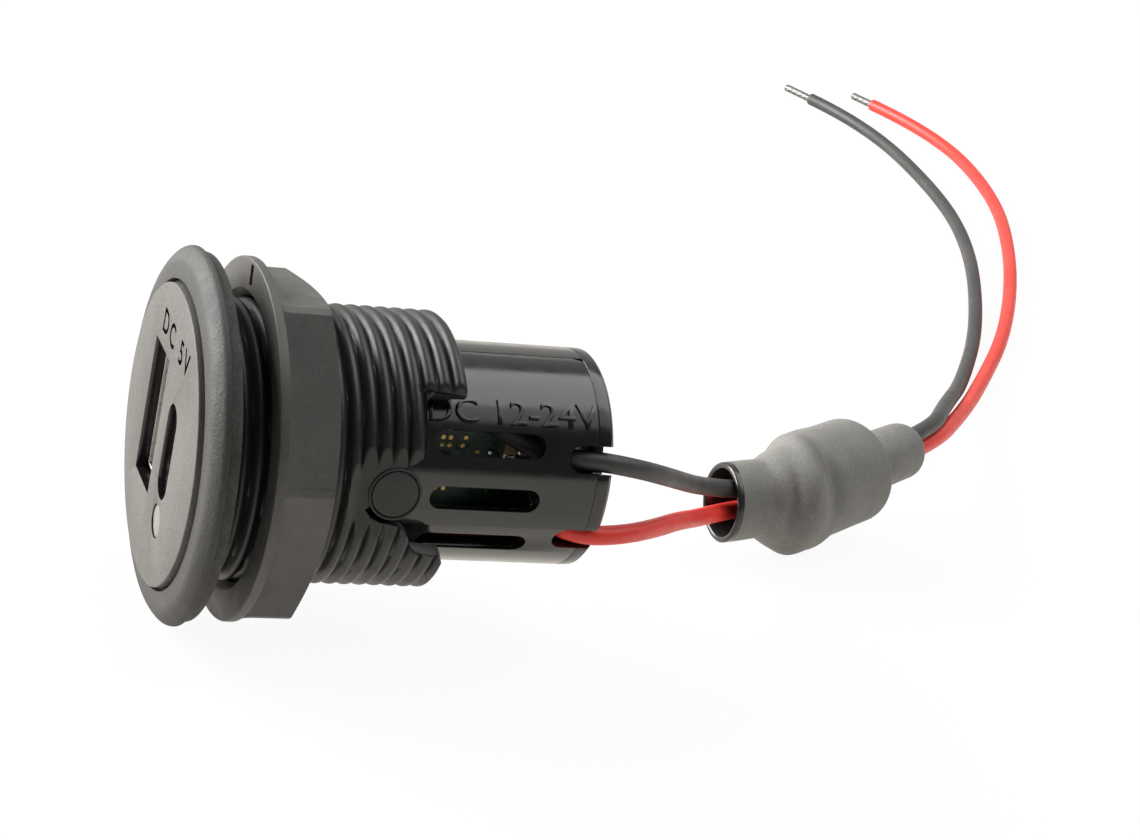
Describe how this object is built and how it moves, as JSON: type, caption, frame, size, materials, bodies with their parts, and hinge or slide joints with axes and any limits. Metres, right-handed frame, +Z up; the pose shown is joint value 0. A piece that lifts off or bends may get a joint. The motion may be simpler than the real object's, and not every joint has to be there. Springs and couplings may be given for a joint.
{
  "type": "usb charging socket",
  "caption": "Round panel-mounted charging socket with two USB ports, a threaded sleeve, a flange nut, a vented housing tube and loose red and black leads.",
  "frame": {"origin": "on the socket's axis, in the plane of the gasket's rear face, where the panel seats", "axes": "+Y along the socket's axis from the face towards the leads, +Z up, +X to the right seen from the face"},
  "size_m": [0.2071, 0.1698, 0.036],
  "materials": {
    "sleeve_plastic": "satin moulded",
    "nut_plastic": "matte moulded",
    "housing_plastic": "semi-gloss moulded, face fine-grained",
    "gasket_rubber": "matte",
    "board_green": "solder resist",
    "shell_steel": "plated",
    "tongue_black": "matte moulded",
    "contact_gold": "plated",
    "window_milky": "milky",
    "lamp_body": "moulded",
    "core_grey": "sintered",
    "can_aluminium": "drawn",
    "chip_black": "moulded",
    "ceramic_brown": "fired",
    "lead_red": "satin",
    "lead_black": "satin",
    "tinned_copper": "tinned",
    "shrink_black": "matte, wrinkled"
  },
  "bodies": {
    "root": {"mounting_sleeve": "sleeve_plastic", "insert_housing": "housing_plastic", "rear_cap": "housing_plastic", "panel_gasket": "gasket_rubber", "main_board": "board_green", "usb_a_shell": "shell_steel", "usb_c_shell": "shell_steel", "usb_a_tongue": "tongue_black", "usb_c_tongue": "tongue_black", "usb_a_contacts": "contact_gold", "usb_c_contacts": "contact_gold", "light_pipe": "window_milky", "status_led": "lamp_body", "power_inductor": "core_grey", "ferrite_core": "core_grey", "bulk_capacitor": "can_aluminium", "converter_chip": "chip_black", "controller_chip": "chip_black", "chip_capacitors": "ceramic_brown", "red_wire": "lead_red", "black_wire": "lead_black", "red_wire_tip": "tinned_copper", "black_wire_tip": "tinned_copper", "shrink_sleeve": "shrink_black"},
    "nut": {"flange_nut": "nut_plastic"}
  },
  "joints": [
    {"name": "nut_travel", "type": "slide", "parent": "root", "child": "nut", "axis": [0, 1, 0], "range_m": [-0.0033, 0.0196]}
  ]
}
